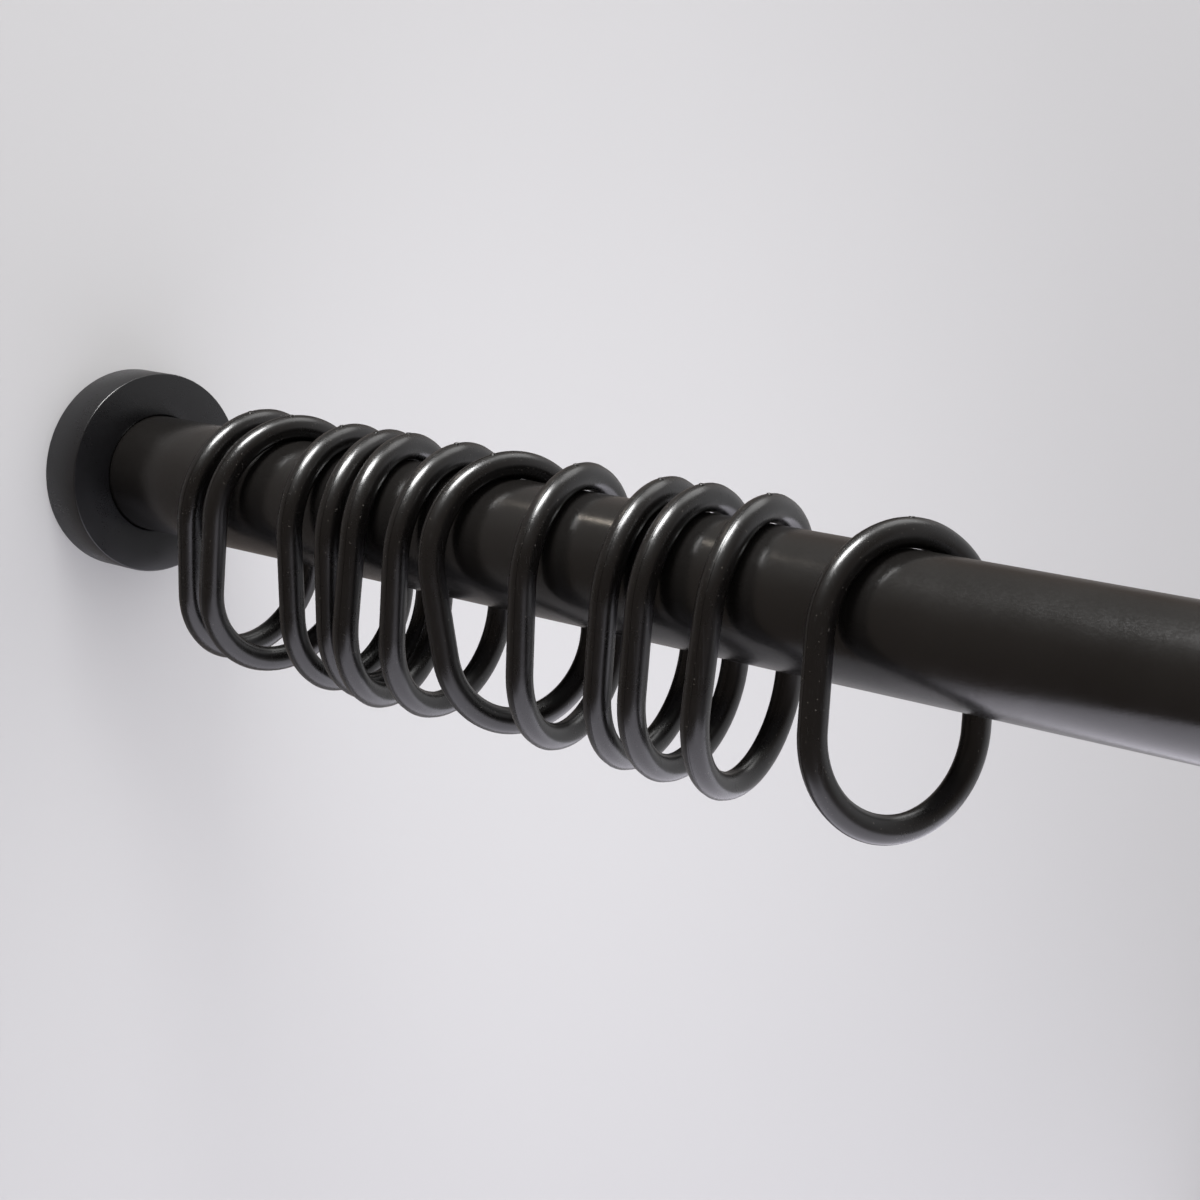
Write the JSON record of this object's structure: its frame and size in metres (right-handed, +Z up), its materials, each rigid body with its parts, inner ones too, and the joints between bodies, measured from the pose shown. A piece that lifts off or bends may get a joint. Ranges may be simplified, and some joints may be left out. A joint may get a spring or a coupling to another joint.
{
  "type": "shower curtain rod",
  "caption": "Straight shower curtain rod fixed wall to wall, with cup covers over its screwed wall plates and loose oval curtain rings that slide along the tube.",
  "frame": {"origin": "on the left wall, on the axis of the tube: the centre of the left wall plate's back", "axes": "+X along the tube from the left wall to the right one, +Z up, +Y away from the viewer of the picture"},
  "size_m": [0.9, 0.0437, 0.0589],
  "materials": {
    "coated_tube": "satin black powder coat on steel tube",
    "coated_cover": "satin black powder coat on a metal cup",
    "coated_casting": "matt black coat on a die casting",
    "blackened_steel": "blackened screw steel",
    "ring_plastic": "black moulded plastic, satin to semi-gloss, with a fine parting line"
  },
  "bodies": {
    "rod": {"rod_tube": "coated_tube", "wall_plate_left": "coated_casting", "flange_cover_left": "coated_cover", "grub_screw_left": "blackened_steel", "wall_plate_right": "coated_casting", "flange_cover_right": "coated_cover", "grub_screw_right": "blackened_steel"},
    "ring_01": {"curtain_ring_01": "ring_plastic"},
    "ring_02": {"curtain_ring_02": "ring_plastic"},
    "ring_03": {"curtain_ring_03": "ring_plastic"},
    "ring_04": {"curtain_ring_04": "ring_plastic"},
    "ring_05": {"curtain_ring_05": "ring_plastic"},
    "ring_06": {"curtain_ring_06": "ring_plastic"},
    "ring_07": {"curtain_ring_07": "ring_plastic"},
    "ring_08": {"curtain_ring_08": "ring_plastic"},
    "ring_09": {"curtain_ring_09": "ring_plastic"},
    "ring_10": {"curtain_ring_10": "ring_plastic"},
    "ring_11": {"curtain_ring_11": "ring_plastic"},
    "ring_12": {"curtain_ring_12": "ring_plastic"}
  },
  "joints": [
    {"name": "ring_01_slide", "type": "slide", "parent": "rod", "child": "ring_01", "axis": [1, 0, 0], "range_m": [-0.0263, 0.0675]},
    {"name": "ring_02_slide", "type": "slide", "parent": "ring_01", "child": "ring_02", "axis": [1, 0, 0], "range_m": [-0.003, 0.058]},
    {"name": "ring_03_slide", "type": "slide", "parent": "ring_02", "child": "ring_03", "axis": [1, 0, 0], "range_m": [-0.0089, 0.0505]},
    {"name": "ring_04_slide", "type": "slide", "parent": "ring_03", "child": "ring_04", "axis": [1, 0, 0], "range_m": [-0.0033, 0.0595]},
    {"name": "ring_05_slide", "type": "slide", "parent": "ring_04", "child": "ring_05", "axis": [1, 0, 0], "range_m": [-0.0007, 0.063]},
    {"name": "ring_06_slide", "type": "slide", "parent": "ring_05", "child": "ring_06", "axis": [1, 0, 0], "range_m": [-0.0071, 0.0545]},
    {"name": "ring_07_slide", "type": "slide", "parent": "ring_06", "child": "ring_07", "axis": [1, 0, 0], "range_m": [-0.0046, 0.0535]},
    {"name": "ring_08_slide", "type": "slide", "parent": "ring_07", "child": "ring_08", "axis": [1, 0, 0], "range_m": [-0.0032, 0.052]},
    {"name": "ring_09_slide", "type": "slide", "parent": "ring_08", "child": "ring_09", "axis": [1, 0, 0], "range_m": [-0.0145, 0.0485]},
    {"name": "ring_10_slide", "type": "slide", "parent": "ring_09", "child": "ring_10", "axis": [1, 0, 0], "range_m": [-0.0035, 0.06]},
    {"name": "ring_11_slide", "type": "slide", "parent": "ring_10", "child": "ring_11", "axis": [1, 0, 0], "range_m": [-0.0089, 0.0545]},
    {"name": "ring_12_slide", "type": "slide", "parent": "ring_11", "child": "ring_12", "axis": [1, 0, 0], "range_m": [-0.0199, 0.036]}
  ]
}
